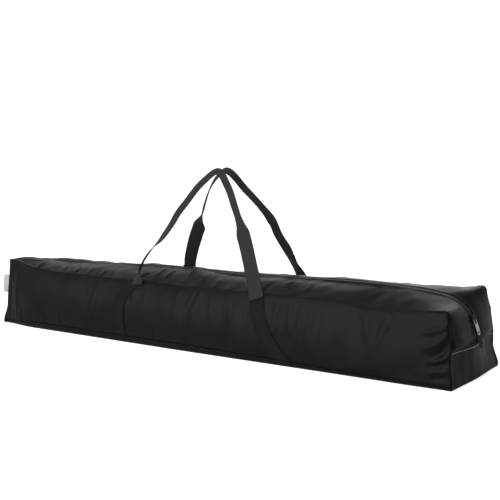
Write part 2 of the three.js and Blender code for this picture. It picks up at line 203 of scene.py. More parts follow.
# ---- Materials -----------------------------------------------------------------------------
class Nodes:
    """A material with a Principled shader, and short ways to add nodes to it."""

    def __init__(self, name, **sockets):
        self.material = bpy.data.materials.new(name)
        self.material.use_nodes = True
        self.tree = self.material.node_tree
        self.shader = self.tree.nodes["Principled BSDF"]
        for socket, value in sockets.items():
            self.shader.inputs[socket.replace("_", " ")].default_value = value

    def add(self, kind, *links, **settings):
        """Adds a node; links are (input, value or output socket) pairs."""
        node = self.tree.nodes.new(kind)
        for key, value in settings.items():
            setattr(node, key, value)
        for place, value in links:
            if isinstance(value, bpy.types.NodeSocket):
                self.tree.links.new(value, node.inputs[place])
            else:
                node.inputs[place].default_value = value
        return node

    def math(self, operation, *values):
        """The result of a Math node."""
        return self.add("ShaderNodeMath", *enumerate(values), operation=operation).outputs[0]

    def ramp(self, factor, *stops):
        """A colour ramp with (place, colour) stops."""
        node = self.add("ShaderNodeValToRGB", ("Fac", factor))
        elements = node.color_ramp.elements
        while len(elements) < len(stops):
            elements.new(0.5)
        for element, (place, colour) in zip(elements, stops):
            element.position = place
            element.color = (*colour, 1)
        return node.outputs["Color"]

    def noise(self, vector, scale, detail=3.0, roughness=0.55):
        """A noise pattern's value."""
        links = [("Vector", vector), ("Scale", scale), ("Detail", detail), ("Roughness", roughness)]
        return self.add("ShaderNodeTexNoise", *links).outputs["Fac"]

    def bump(self, height, distance, strength, normal=None):
        """A bump from a height."""
        links = [("Height", height), ("Distance", distance), ("Strength", strength)]
        if normal is not None:
            links.append(("Normal", normal))
        return self.add("ShaderNodeBump", *links).outputs["Normal"]

    def set(self, socket, output):
        """Feeds a shader socket."""
        self.tree.links.new(output, self.shader.inputs[socket])


def cloth_coordinates(nodes):
    """The cloth's own two lengths, across and along, in metres, as one vector and apart."""
    vector = nodes.add("ShaderNodeUVMap", uv_map="Cloth").outputs["UV"]
    parts = nodes.add("ShaderNodeSeparateXYZ", ("Vector", vector))
    return vector, parts.outputs["X"], parts.outputs["Y"]


def woven(name, dark, light, yarn, weave_depth, wrinkle_depth, **sockets):
    """Woven cloth: yarns over and under as the product of two sines of the cloth's lengths, a slow change of
    tone with a little painted shade where the yarns dip, small crumples in the bump, and roughness that
    follows both."""
    nodes = Nodes(name, **sockets)
    vector, across, along = cloth_coordinates(nodes)
    warp = nodes.math("SINE", nodes.math("MULTIPLY", across, 2 * math.pi / yarn))
    weft = nodes.math("SINE", nodes.math("MULTIPLY", along, 2 * math.pi / yarn))
    weave = nodes.math("MULTIPLY", warp, weft)
    slow = nodes.noise(vector, 14.0, 4.0)
    crumple = nodes.noise(vector, 60.0, 5.0, 0.6)
    # A little of the weave's height goes into the colour: painted shade where the yarns dip under.
    shade = nodes.math("ADD", nodes.math("MULTIPLY", slow, 0.75), nodes.math("MULTIPLY", weave, 0.06))
    nodes.set("Base Color", nodes.ramp(shade, (0.22, dark), (0.62, light)))
    rough = nodes.math("ADD", nodes.math("MULTIPLY", crumple, 0.16), sockets["Roughness"] - 0.08)
    nodes.set("Roughness", rough)
    small = nodes.bump(weave, yarn * 0.3, weave_depth)
    nodes.set("Normal", nodes.bump(crumple, 0.002, wrinkle_depth, small))
    return nodes.material


def ribbed(name, dark, light, rib, **sockets):
    """Woven webbing: ribs across the band from a sine of its length, crossed by fine yarns, painted shade
    that darkens the valleys between the ribs, and a slow change of tone."""
    nodes = Nodes(name, **sockets)
    vector, across, along = cloth_coordinates(nodes)
    ribs = nodes.math("SINE", nodes.math("MULTIPLY", along, 2 * math.pi / rib))
    yarns = nodes.math("SINE", nodes.math("MULTIPLY", across, 2 * math.pi / (rib * 0.8)))
    weave = nodes.math("ADD", nodes.math("MULTIPLY", ribs, 0.6), nodes.math("MULTIPLY", yarns, 0.4))
    slow = nodes.noise(vector, 40.0, 3.0)
    # The colour follows the rib height as well as the slow noise: painted shade in the valleys between the
    # ribs.
    shade = nodes.math("ADD", nodes.math("MULTIPLY", slow, 0.7), nodes.math("MULTIPLY", weave, 0.1))
    nodes.set("Base Color", nodes.ramp(shade, (0.2, dark), (0.65, light)))
    nodes.set("Normal", nodes.bump(weave, rib * 0.25, 0.55))
    return nodes.material


def grained(name, dark, light, grain, deep, strong, **sockets):
    """Metal, plastic, rubber, thread or paint: two close shades and a fine grain by Object coordinates."""
    nodes = Nodes(name, **sockets)
    place = nodes.add("ShaderNodeTexCoord").outputs["Object"]
    skin = nodes.noise(place, grain, 3.0)
    nodes.set("Base Color", nodes.ramp(skin, (0.3, dark), (0.7, light)))
    nodes.set("Roughness", nodes.math("ADD", nodes.math("MULTIPLY", skin, 0.14), sockets["Roughness"] - 0.07))
    nodes.set("Normal", nodes.bump(skin, deep, strong))
    return nodes.material


def moulded(name, dark, light, grain, **sockets):
    """A grained surface that isn't metal; dark and light are shades of grey."""
    return grained(name, grey(dark), grey(light), grain, 0.0003, 0.2, **sockets)


def metal(name, dark, light, roughness):
    """Cast or drawn metal between two shades of grey."""
    return grained(name, grey(dark), grey(light), 900.0, 0.0002, 0.25, Metallic=1.0, Roughness=roughness)


def grey(value, warm=0.0):
    """A near-neutral colour; warm tips it from blue to red."""
    return (value * (1 + warm), value, value * (1 - warm))


SHEEN = {"Sheen_Weight": 0.035, "Sheen_Roughness": 0.3}
nylon = woven("black_nylon", grey(0.0026, -0.04), grey(0.0042, -0.04), 0.7 * MM, 0.30, 0.22,
              Roughness=0.37, Specular_IOR_Level=0.08, **SHEEN)
webbing_cloth = ribbed("black_webbing", grey(0.0065), grey(0.011), 1.6 * MM, Roughness=0.60,
                       Specular_IOR_Level=0.2, Sheen_Weight=0.02, Sheen_Roughness=0.5)
# A darker copy of the same webbing for the straps sewn on the sides: painted shade, as they read darker than
# the hanging handles.
shaded_webbing = ribbed("black_webbing_sewn", grey(0.0030), grey(0.0052), 1.6 * MM, Roughness=0.60,
                      Specular_IOR_Level=0.09)
tape_cloth = woven("zip_tape_cloth", grey(0.0045), grey(0.007), 0.9 * MM, 0.4, 0.1,
                   Roughness=0.55, Specular_IOR_Level=0.3, **SHEEN)
label_cloth = woven("label_satin", grey(0.24), grey(0.36), 0.5 * MM, 0.2, 0.1,
                    Roughness=0.45, Specular_IOR_Level=0.5, Sheen_Weight=0.2, Sheen_Roughness=0.4)
black_thread = moulded("black_thread", 0.004, 0.008, 1800.0, Roughness=0.6,
                        Specular_IOR_Level=0.12)
# Light grey thread on the right end's level seam: a painted highlight for the light that catches the seam's
# fold.
seam_highlight_thread = moulded("seam_painted_highlight_thread", 0.30, 0.40, 1800.0, Roughness=0.6)
coil_plastic = moulded("coil_plastic", 0.010, 0.018, 700.0, Roughness=0.38)
slider_metal = metal("black_slider_metal", 0.03, 0.06, 0.36)
pull_metal = metal("silver_pull_metal", 0.62, 0.78, 0.26)
tube_black = moulded("black_painted_tube", 0.016, 0.024, 260.0, Roughness=0.36, Coat_Weight=0.3)
tube_silver = metal("silver_tube", 0.52, 0.62, 0.34)
plastic_black = moulded("black_moulded_plastic", 0.018, 0.028, 600.0, Roughness=0.5)
rubber_black = moulded("black_rubber", 0.014, 0.022, 800.0, Roughness=0.8)


# ---- The bag's lines -----------------------------------------------------------------------
FRONT_SHOULDER_LINE = [(-0.5660, 0.151), (-0.500, 0.138), (-0.340, 0.135), (-0.050, 0.1355), (0.120, 0.136),
                       (0.240, 0.139), (0.310, 0.138), (0.365, 0.135), (0.395, 0.131), (0.440, 0.133),
                       (0.500, 0.139), (0.540, 0.144), (0.563, 0.1455), (0.580, 0.1455)]
BACK_SHOULDER_LINE = [(-0.5670, 0.117), (-0.500, 0.121), (-0.440, 0.121), (-0.290, 0.130), (-0.150, 0.133),
                      (0.000, 0.134), (0.110, 0.139), (0.210, 0.144), (0.300, 0.146), (0.380, 0.149),
                      (0.440, 0.153), (0.500, 0.157), (0.525, 0.159), (0.555, 0.163), (0.580, 0.165)]
RIDGE_PATH = [(-0.5660, 0.140), (-0.500, 0.1435), (-0.370, 0.144), (-0.220, 0.154), (-0.080, 0.156),
              (0.060, 0.157), (0.180, 0.162), (0.280, 0.1665), (0.420, 0.167), (0.500, 0.162),
              (0.528, 0.157), (0.548, 0.148), (0.562, 0.137), (0.5708, 0.126), (0.5740, 0.115),
              (0.5776, 0.095), (0.5812, LEVEL_SEAM + 1 * MM), (RIGHT - 4 * MM, LEVEL_SEAM - 8 * MM)]
TOP_RUN = 0.86


def half_width(z):
    """The bag's half width: HALF_FOOT at the foot, HALF_SHOULDER at the shoulder, straight between."""
    return HALF_FOOT + (HALF_SHOULDER - HALF_FOOT) * np.clip(z / SHOULDER, 0, 1.3)


def left_edge(z):
    """Where the left end stands at height z: it flares at the foot and is upright above."""
    return LEFT_END - 6 * MM + 11 * MM * smooth(0, 0.045, z) - 0.016 * z


def right_edge(z):
    """Where the right end stands at height z: it flares at the foot, and leans in above the level seam."""
    return RIGHT + 7 * MM * (1 - smooth(0, 0.06, z)) - RIGHT_LEAN * np.maximum(z - LEVEL_SEAM, 0)


def back_edge(z):
    """Where the right end stands at its back corner: the end is slightly askew, and upright there."""
    return RIGHT - 13 * MM * smooth(-0.01, 0.05, z) - 10 * MM * smooth(0.08, 0.17, z)


def fullness(x):
    """How far a side swells at its fullest height: most in the left half, little at the right end."""
    full = 21 * MM * smooth(LEFT_END - 0.01, LEFT_END + 0.10, x) * (1 - 0.50 * smooth(-0.10, 0.45, x))
    return full * (1 - 0.45 * smooth(0.48, RIGHT, x))


def foot_reach(x):
    """How far the foot is pushed out sideways beyond the base."""
    return 0.62 * fullness(x)


def foot_seam(x):
    """The height of the seam between the sides and the bottom: a band that tapers towards the right end."""
    return (14 - 8 * smooth(-0.1, 0.56, x) - 7 * (1 - smooth(-0.56, -0.44, x))) * MM


def side_belly(x, share):
    """How far a side stands proud of the straight wall: 0.62 of its fullness at the foot, all of it at
    0.42 of the height, falling as a parabola to none at the shoulder."""
    below = 1 - 0.38 * ((0.42 - share) / 0.42) ** 2
    above = 1 - (np.maximum(share - 0.42, 0) / 0.58) ** 2
    return fullness(x) * np.where(share < 0.42, below, above)


def groove(distance, depth=2.4 * MM, width=2.6 * MM):
    """The dip of cloth beside a seam: a bell of the distance to it."""
    return depth * np.exp(-((np.maximum(distance, 0) / width) ** 2))


def shoulder_groove(distance, x):
    """The dip beside the shoulder seam, shallow at the left and deep towards the right end."""
    return groove(distance, (0.9 + 1.7 * smooth(-0.30, 0.45, x)) * MM)


# Folds as rows of x and z (or x and y) at the start and the end, height, width and bow in mm, sharpness.
FRONT_FOLDS = [
    (388, 136, 412, 70, 2.4, 9, 3, 0.3),
    (462, 134, 432, 66, 2.2, 9, -4, -0.3),
    (420, 130, 428, 74, -2.4, 11, 0, 0),
    (440, 128, 448, 92, 1.2, 5, 2, 0),
    (466, 139, 461, 118, -2, 2.5, 2, 0),
    (492, 124, 520, 88, -1.6, 9, 4, 0),
    (580, 124, 520, 104, 3.2, 6, 3, 0.3),
    (580, 112, 522, 72, 3.4, 7, 6, 0.3),
    (580, 96, 540, 54, -4.5, 8, 6, 0),
    (582, 70, 538, 52, 3.4, 6, 4, 0.3),
    (582, 55, 535, 41, -3.4, 6, 2, 0),
    (582, 36, 540, 31, 3.2, 5, -2, 0.4),
    (582, 25, 545, 20, -2.5, 5, 0, 0),
    (-51, 134, -53, 85, 1.5, 4, 1, 0.3),
    (4, 138, -20, 62, 1.9, 4, 4, 0.4),
    (-12, 132, -26, 90, 1.3, 3, 2, 0),
    (36, 132, 42, 72, 1.3, 5, -3, 0.3),
    (70, 132, 94, 72, 1.3, 6, 2, 0.3),
    (110, 130, 90, 72, 1.4, 6, -3, 0.3),
    (214, 126, 190, 60, 2, 6, 4, 0.4),
    (226, 134, 240, 60, 2, 5, -3, 0.4),
    (256, 130, 247, 40, 1.8, 5, 2, 0.4),
    (280, 128, 271, 40, 1.6, 6, 3, 0.3),
    (312, 126, 300, 52, 1.4, 7, 3, 0.3),
    (342, 126, 345, 60, 1.2, 8, 3, 0),
    (-270, 134, -284, 4, 2, 2.2, -10, -0.3),
    (-533, 132, -520, 4, 2.2, 7, -3, 0.4),
    (-556, 120, -548, 10, -2, 7, 0, 0),
    (-513, 50, -508, 8, 2, 4, 0, 0.3),
    (-489, 136, -486, 116, 1.6, 3, 0, 0),
    (-340, 6, -250, 13, 1.6, 4, 2, 0),
    (-440, 40, -425, 12, 1.2, 6, 0, 0),
    (-390, 50, -380, 12, 1.2, 7, 0, 0),
    (-196, 134, -176, 80, -1.6, 5, 4, 0),
    (-140, 126, -150, 70, 1, 8, 3, 0),
    (128, 134, 130, 80, -1.5, 5, 0, 0),
    (186, 130, 182, 70, -2, 5, 3, 0),
]
BACK_FOLDS = [
    (-540, 112, -500, 20, 2.4, 8, 4, 0.3),
    (-480, 118, -470, 50, 1.6, 6, 0, 0.3),
    (-410, 124, -380, 30, 2.2, 7, 6, 0.3),
    (-330, 128, -345, 70, 1.6, 5, 2, 0),
    (-260, 136, -250, 60, 1.8, 6, -4, 0.4),
    (-150, 142, -128, 70, 2, 6, 4, 0.4),
    (-90, 142, -100, 80, 1.4, 4, 0, 0),
    (-20, 144, -4, 60, 1.8, 6, 3, 0.4),
    (60, 144, 40, 76, 1.6, 5, 3, 0),
    (180, 146, 210, 60, 2.2, 7, 6, 0.4),
    (230, 148, 236, 80, 1.5, 5, 0, 0),
    (320, 150, 290, 70, 2.4, 7, -4, 0.4),
    (390, 150, 405, 90, -3, 9, 0, 0),
    (470, 150, 440, 80, 2.8, 8, 4, 0.4),
    (575, 130, 510, 100, 3, 8, 4, 0.3),
    (575, 80, 520, 60, 3, 7, 4, 0.3),
    (578, 45, 530, 34, -3, 6, 0, 0),
]


def shoulder_height(x, back=False):
    """The height of the seam between a side and the top."""
    return through(BACK_SHOULDER_LINE if back else FRONT_SHOULDER_LINE, x)


def side_reach(x, z, back=False):
    """How far a side's face stands from the middle plane at (x, z), with its belly, folds and small waves."""
    seam, top = foot_seam(x), shoulder_height(x, back)
    share = np.clip((z - seam) / (top - seam), 0, 1)
    ease = smooth(0, 0.16, share) * (1 - smooth(0.90, 1.0, share))
    ends = smooth(LEFT_END, LEFT_END + 0.02, x) * (1 - smooth(RIGHT - 0.012, RIGHT, x) * 0.6)
    own = folds(x, z, BACK_FOLDS if back else FRONT_FOLDS)
    small = ripple(x, z * 0.8, 21 if back else 11, 0.055, 0.5 * MM)
    broad = ripple(x, z * 0.6, 22 if back else 12, 0.16, 1.3 * MM)
    own = own * ends * (1 - 0.75 * smooth(0.90, 1.0, share))
    return half_width(z) + side_belly(x, share) + own + (small + broad) * ease


def side_panel(name, back):
    """A side: length by height grid between the two ends, the foot seam and the shoulder seam; past each
    seam the cloth turns in level, and beside each seam it dips."""
    length = RIGHT - LEFT
    along = np.concatenate([[-TURNED_IN], np.linspace(0, length, 430), [length + TURNED_IN]])
    up = np.concatenate([[-TURNED_IN], np.linspace(0, SHOULDER, 56), [SHOULDER + TURNED_IN]])
    a, h = np.meshgrid(along, up)
    share = np.clip(h / SHOULDER, 0, 1)
    guess = LEFT + np.clip(a, 0, length)
    z = foot_seam(guess) + (shoulder_height(guess, back) - foot_seam(guess)) * share
    z = z - 2.5 * MM * smooth(length - 9 * MM, length, a) * share**8
    right = back_edge(z) if back else right_edge(z)
    x = left_edge(z) + (right - left_edge(z)) * np.clip(a / length, 0, 1)
    over = np.maximum(-a, 0) + np.maximum(a - length, 0) + np.maximum(-h, 0) + np.maximum(h - SHOULDER, 0)
    dips = groove(a, 1.4 * MM) + groove(length - a) + shoulder_groove(SHOULDER - h, x) + groove(h)
    reach = side_reach(x, z, back) - dips - over
    points = np.stack([x, reach if back else -reach, z], -1)
    flat = np.stack([a, h], -1)
    piece = cloth_piece(name, points, flat, nylon, flip=back)
    return piece, points


# The top panels run along the top, round the bend and down the right end.
def down_the_end(z, back):
    """The last knots of a shoulder path: round the corner and down the end's edge to the level seam."""
    edge = back_edge if back else right_edge
    heights = np.linspace(z - 14 * MM, LEVEL_SEAM, 4)
    corner = [(float(edge(z)) - 2.0 * MM, z - 1.0 * MM), (float(edge(z - 0.005)), z - 5.5 * MM)]
    return corner + [(float(edge(h)), float(h)) for h in heights] + [
        (float(edge(LEVEL_SEAM)) - 3.5 * MM, LEVEL_SEAM - 8 * MM)]


def top_path(back):
    """The outer edge of a top panel, as (x, z) knots."""
    line = BACK_SHOULDER_LINE if back else FRONT_SHOULDER_LINE
    kept = [k for k in line if k[0] < (0.54 if back else 0.545)]
    return kept + down_the_end(line[-1][1], back)


def run_along(knots, share):
    """Points on a path at a share of its run, by length; the share TOP_RUN is where it passes x = 0.5."""
    knots = np.asarray(knots, float)
    chord = lengths(knots)
    fine = np.linspace(0, chord[-1], 3000)
    line = through(np.column_stack([chord, knots]), fine)
    travelled = lengths(line)
    turn = np.interp(0.5, line[:2400, 0], travelled[:2400])
    place = np.where(share < TOP_RUN, share / TOP_RUN * turn,
                     turn + (share - TOP_RUN) / (1 - TOP_RUN) * (travelled[-1] - turn))
    return np.stack([np.interp(place, travelled, line[:, k]) for k in range(2)], -1), place


TOP_FOLDS_FRONT = [
    (x, -50 - 4 * (k % 3), x + 20 - 2 * (k % 2), -106, 0.8 + 0.3 * (k % 2), 2.2 + 0.5 * (k % 3), 1.5, 0.5)
    for k, x in enumerate([-447, -420, -399, -381, -362, -342, -323, -302, -281])
]
TOP_FOLDS_FRONT += [
    (-512, -30, -478, -104, 2.4, 5, 2, 0.4),
    (-560, -90, -500, -30, 1.8, 7, 0, 0),
    (-158, -16, -145, -77, 1.8, 5, 2, 0.4),
    (-130, -14, -116, -90, 2, 5, 2, 0.4),
    (-91, -12, -60, -72, 1.6, 5, 2, 0.3),
    (-30, -20, -20, -80, 1.2, 7, 0, 0.3),
    (12, -50, 33, -105, 1.7, 5, 0, 0.4),
    (184, -18, 188, -60, 1.8, 6, 0, 0.4),
    (236, -30, 244, -75, 1.4, 6, 0, 0.3),
    (380, -100, 410, -40, -2.2, 12, 0, 0),
    (-180, -104, -168, -60, -2, 8, 0, 0),
    (150, -104, 152, -50, -1.6, 8, 0, 0),
]
TOP_FOLDS_BACK = [
    (-540, 30, -500, 95, 2, 7, 0, 0.3),
    (-470, 20, -450, 95, 1.8, 5, 2, 0.3),
    (-410, 20, -380, 100, 2, 5, 2, 0.3),
    (-350, 30, -330, 100, 1.6, 4, 0, 0.3),
    (-250, 20, -230, 90, 1.6, 6, 0, 0.3),
    (-130, 14, -110, 100, 1.8, 5, 0, 0.3),
    (20, 20, 30, 100, 1.6, 7, 0, 0.3),
    (110, 30, 120, 100, 1.4, 5, 0, 0.3),
    (260, 20, 280, 100, 1.8, 6, 0, 0.3),
    (400, 30, 420, 100, 2, 7, 0, 0.3),
    (556, 20, 545, 90, 3, 7, 2, 0.3),
]


def top_surface(share, v, back):
    """A top half panel's face: v = 0 on the shoulder seam and 1 at the zip; straight between the two
    paths, plus a low crown, folds and small waves along the turning outward direction."""
    outer, _ = run_along(top_path(back), share)
    inner, travelled = run_along(RIDGE_PATH, share)
    sign = 1.0 if back else -1.0
    reach = half_width(outer[..., 1]) + 0.4 * MM
    x = outer[..., 0] + (inner[..., 0] - outer[..., 0]) * v
    y = sign * (reach + (ZIP_HALF - reach) * v)
    z = outer[..., 1] + (inner[..., 1] - outer[..., 1]) * v
    turned = smooth(TOP_RUN + 0.035, TOP_RUN + 0.085, share)
    out_x, out_z = np.sin(turned * math.radians(78)), np.cos(turned * math.radians(78))
    crown = 4.5 * MM * np.sin(math.pi * np.clip(v, 0, 1)) ** 1.1
    own = folds(x, y, TOP_FOLDS_BACK if back else TOP_FOLDS_FRONT) * (1 - turned)
    ease = smooth(0, 0.1, v) * (1 - smooth(0.9, 1.0, v))
    small = ripple(travelled, y, 32 if back else 31, 0.05, 0.5 * MM)
    broad = ripple(travelled, y, 34 if back else 33, 0.15, 1.2 * MM)
    lift = crown + own * smooth(0, 0.05, v) * (1 - smooth(0.93, 1, v)) + (small + broad) * ease
    return x + out_x * lift, y, z + out_z * lift, out_x, out_z, travelled


def top_panel(name, back):
    """Half of the top with half of the right end's upper part, as one cut of cloth."""
    share = np.concatenate([np.linspace(0, TOP_RUN, 370), np.linspace(TOP_RUN, 1, 90)[1:]])
    width = HALF_SHOULDER - ZIP_HALF
    down = np.concatenate([[-TURNED_IN], np.linspace(0, width, 40), [width + 0.6 * MM, width + 1.2 * MM]])
    s, w = np.meshgrid(share, down)
    v = np.clip(w / width, 0, 1)
    x, y, z, out_x, out_z, travelled = top_surface(s, v, back)
    seam = np.maximum(-w, 0)
    hem = np.maximum(w - width, 0)
    welt = 0.7 * MM * np.exp(-(((w - width + 2 * MM) / (2 * MM)) ** 2))
    dip = 0.8 * shoulder_groove(w, x) + seam + hem * 2.6 - welt
    x = x - out_x * dip
    z = z - out_z * dip
    points = np.stack([x, y, z], -1)
    piece = cloth_piece(name, points, np.stack([travelled, w], -1), nylon, flip=back)
    return piece, points


def left_top(y):
    """The height of the left end's top edge at y, from front shoulder over the zip to the back shoulder."""
    knots = [(-HALF_SHOULDER, FRONT_SHOULDER_LINE[0][1]), (0, RIDGE_PATH[0][1] + 1 * MM),
             (HALF_SHOULDER, BACK_SHOULDER_LINE[0][1])]
    return through(knots, y) + 3.4 * MM * np.abs(np.sin(math.pi * y / HALF_SHOULDER)) ** 1.1


def end_panel(name, high, edge_x, outward, bulge, seed):
    """An end: width by height grid; it bows outwards, and turns in past its seams."""
    width = 2 * HALF_FOOT
    across = np.concatenate([[-TURNED_IN], np.linspace(0, width, 90), [width + TURNED_IN]])
    up = np.concatenate([[-TURNED_IN], np.linspace(0, 1, 50), [1 + TURNED_IN]])
    a, h = np.meshgrid(across, up)
    share = np.clip(h, 0, 1)
    side = np.clip(a / width, 0, 1) * 2 - 1
    y = side * HALF_SHOULDER
    z = END_FOOT + (high(y) - END_FOOT) * share
    y = side * (half_width(z) + 0.5 * MM)
    height = high(y) - END_FOOT
    hump = np.sin(math.pi * share) ** 0.8 * np.cos(side * math.pi / 2) ** 0.7
    small = ripple(y, z, seed, 0.05, 0.8 * MM) + ripple(y, z, seed + 1, 0.11, 1.6 * MM)
    over = np.maximum(-a, 0) + np.maximum(a - width, 0) + np.maximum(-h, 0) + np.maximum(h - 1, 0)
    dips = groove(np.minimum(a, width - a)) + groove((1 - share) * height) + groove(share * height, 1.5 * MM)
    edge = smooth(0, 0.1, 1 - np.abs(side)) * smooth(0, 0.1, share) * (1 - smooth(0.9, 1, share))
    push = bulge * hump + small * edge - dips - over
    x = edge_x(z, y) + outward * push
    points = np.stack([x, y, z], -1)
    flat = np.stack([a, h * np.mean(height)], -1)
    return cloth_piece(name, points, flat, nylon, flip=outward < 0), points


END_FOOT = 2 * MM


def right_face(z, y):
    """Where the right end's lower panel stands: from the front corner's edge to the back corner's."""
    return right_edge(z) + (back_edge(z) - right_edge(z)) * smooth(-0.02, HALF_FOOT, y)


def level_line(y):
    """The height of the level seam on the right end: it hangs a little in the middle."""
    return LEVEL_SEAM - 3 * MM * np.cos(math.pi * y / (2 * HALF_FOOT)) ** 2


def bottom_panel(name):
    """The bottom: one cut that lies on the floor and turns up on all sides to the foot seam, where
    z = seam * (1 - d / r)^2 within r of its edge."""
    along = np.linspace(0, 1, 300)
    edge = 1 - 0.045 * np.linspace(1, 0, 14) ** 1.4
    across = np.concatenate([-edge[::-1], np.linspace(-0.95, 0.95, 40), edge])
    p, side = np.meshgrid(along, across)
    left = float(left_edge(0.0)) + 2.5 * MM
    right = float(right_edge(0.0))
    x = left + (right - 1.5 * MM - left) * p
    half = HALF_FOOT + foot_reach(x) - 1.8 * MM
    y = side * half
    end = right + (back_edge(3 * MM) - right) * smooth(-0.02, HALF_FOOT, y)
    x = left + (end - 2.5 * MM - left) * p
    from_side = half - np.abs(y)
    from_end = np.minimum(x - left, end - x)
    corner = 5 * MM
    band = foot_seam(x)
    rise = band * np.clip(1 - from_side / corner, 0, 1) ** 2
    rise_end = 2.5 * MM * np.clip(1 - from_end / (4 * MM), 0, 1) ** 2
    z = np.maximum(rise, rise_end) + 0.6 * MM
    belly = np.sin(math.pi * np.clip(1 - from_side / corner, 0, 1) ** 2)
    y = np.sign(y) * (np.abs(y) + 1.5 * MM * belly)
    points = np.stack([x, y, z], -1)
    return cloth_piece(name, points, np.stack([x, y], -1), nylon, flip=True, thick=0.9 * MM), points


# ---- Panels --------------------------------------------------------------------------------
def finish_sheet(made, node, body="bag"):
    """Rides the sheet on its body in place of its CAD node."""
    piece, points = made
    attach(piece, body)
    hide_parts(node)
    return piece


front_made = side_panel("front_side_cloth", False)
back_made = side_panel("back_side_cloth", True)
top_front_made = top_panel("top_front_cloth", False)
top_back_made = top_panel("top_back_cloth", True)
left_made = end_panel("left_end_cloth", left_top, lambda z, y: left_edge(z), -1.0, 1.5 * MM, 51)
lower_made = end_panel("right_end_lower_cloth", level_line, right_face, 1.0, 4 * MM, 61)
finish_sheet(front_made, "front_panel")
finish_sheet(back_made, "back_panel")
finish_sheet(top_front_made, "top_front_panel")
finish_sheet(top_back_made, "top_back_panel")
finish_sheet(left_made, "left_end_panel")
finish_sheet(lower_made, "right_end_lower_panel")
finish_sheet(bottom_panel("bottom_cloth"), "bottom_panel")


# ---- Zip -----------------------------------------------------------------------------------
def zip_frame(count):
    """Points on the zip's line, the outward direction there, and the length up to each."""
    path, travelled = run_along(RIDGE_PATH, np.linspace(0, 1, count))
    centre = np.stack([path[:, 0], 0 * path[:, 0], path[:, 1]], -1)
    along = unit(np.gradient(centre, axis=0))
    out = np.stack([-along[:, 2], 0 * along[:, 0], along[:, 0]], -1)
    return centre, out, travelled


def zip_tape(name, sign):
    """Half the zip's tape: a strip just under the panels' edges, beside the coil."""
    centre, out, travelled = zip_frame(430)
    reach = np.linspace(0.3 * MM, 13 * MM, 22)
    lift = -0.6 * MM - 3.6 * MM * smooth(5.2 * MM, 7.6 * MM, reach)
    points = centre[None] + out[None] * lift[:, None, None]
    points = points + np.array([0, sign, 0])[None, None] * reach[:, None, None]
    flat = np.stack(np.broadcast_arrays(reach[:, None], travelled[None]), -1)
    return cloth_piece(name, points, flat, tape_cloth, flip=sign < 0, thick=0.6 * MM)


def zip_coil(name, sign):
    """Half the zip's chain: a flattened helix, its loops 1.7 mm wide at a 2 mm pitch, meeting its mate."""
    pitch, steps, sides = 2.0 * MM, 9, 5
    whole = zip_frame(3)[2][-1]
    turns = int(whole / pitch)
    centre, out, _ = zip_frame(turns * steps + 1)
    angle = np.arange(turns * steps + 1) * 2 * math.pi / steps
    wide, tall, wire = 1.15 * MM, 0.6 * MM, 0.38 * MM
    line = centre + out * (tall * np.sin(angle) - 0.2 * MM)[:, None]
    line[:, 1] += sign * (wide + 0.1 * MM + wide * np.cos(angle + (0.0 if sign > 0 else math.pi)))
    direction = unit(np.gradient(line, axis=0))
    side = unit(np.cross(direction, out + np.array([0, 1e-3, 0])))
    top = np.cross(side, direction)
    turn = np.linspace(0, 2 * math.pi, sides, endpoint=False)
    points = line[:, None] + wire * (side[:, None] * np.cos(turn)[None, :, None]
                                     + top[:, None] * np.sin(turn)[None, :, None])
    faces = grid_faces(len(line), sides, False, closed=True)
    piece = mesh_object(name, points, faces)
    piece.data.materials.append(coil_plastic)
    return piece


for half, sign in (("front", -1.0), ("back", 1.0)):
    tape = zip_tape(f"zip_tape_{half}_cloth", sign)
    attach(tape, "bag")
    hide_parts(f"zip_tape_{half}")
    coil = zip_coil(f"zip_coil_{half}_loops", sign)
    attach(coil, "bag")
    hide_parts(f"zip_coil_{half}")


# ---- Webbing -------------------------------------------------------------------------------
STRAPS = {
    "front_left": [(9, -199), (30, -202), (55, -205), (95, -203), (120, -190), (136, -176)],
    "front_right": [(9, 222), (37, 196), (65, 176), (101, 157), (120, 149), (136, 146)],
    "back_left": [(9, -230), (30, -234), (55, -237), (95, -228), (120, -208), (136, -187)],
    "back_right": [(9, 196), (37, 171), (65, 153), (101, 135), (120, 129), (136, 128)],
}


def strap_face(knots, a, z, lift, back):
    """A point on a sewn strap: a from -1 to 1 across it at height z, lift above the side's own face.
    The strap is cut level, and as wide as the webbing measured square to its line."""
    knots = np.asarray(knots, float) * MM
    line = np.linspace(knots[0, 0] - 1 * MM, (143 if back else 134) * MM, 90)
    centre = through(knots, line)
    wide = WEBBING_SHOWN * np.sqrt(1 + np.minimum(np.gradient(centre, line), 1.0) ** 2)
    x = np.interp(z, line, centre) + 0.5 * np.interp(z, line, wide) * a
    seam = shoulder_height(x, back) - z
    reach = side_reach(x, z, back) - shoulder_groove(seam, x) - groove(z - foot_seam(x)) + lift
    return np.stack(np.broadcast_arrays(x, reach if back else -reach, z), -1)


def sewn_strap(name, knots, back, low, high, under, material):
    """A strap sewn flat on a side from height low to high, on top of what is under it."""
    z = np.linspace(low, high, max(int((high - low) / (1.5 * MM)), 6))
    across, lift = ring(28)
    lift = under + 0.5 * WEBBING_THICK * (1 + lift) + 0.15 * MM
    points = strap_face(knots, across[None], z[:, None], lift[None], back)
    return band_piece(name, points, z, np.full(len(z), WEBBING_SHOWN), material, flip=not back)


# The sewn straps take the darker copy of the webbing, which paints shade into their colour.
for place, knots in STRAPS.items():
    on_back = place.startswith("back")
    strap = sewn_strap(f"sewn_strap_{place}_webbing", knots, on_back, 8 * MM, (143 if on_back else 134) * MM,
                       0.0, shaded_webbing)
    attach(strap, "bag")
    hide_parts(f"sewn_strap_{place}")

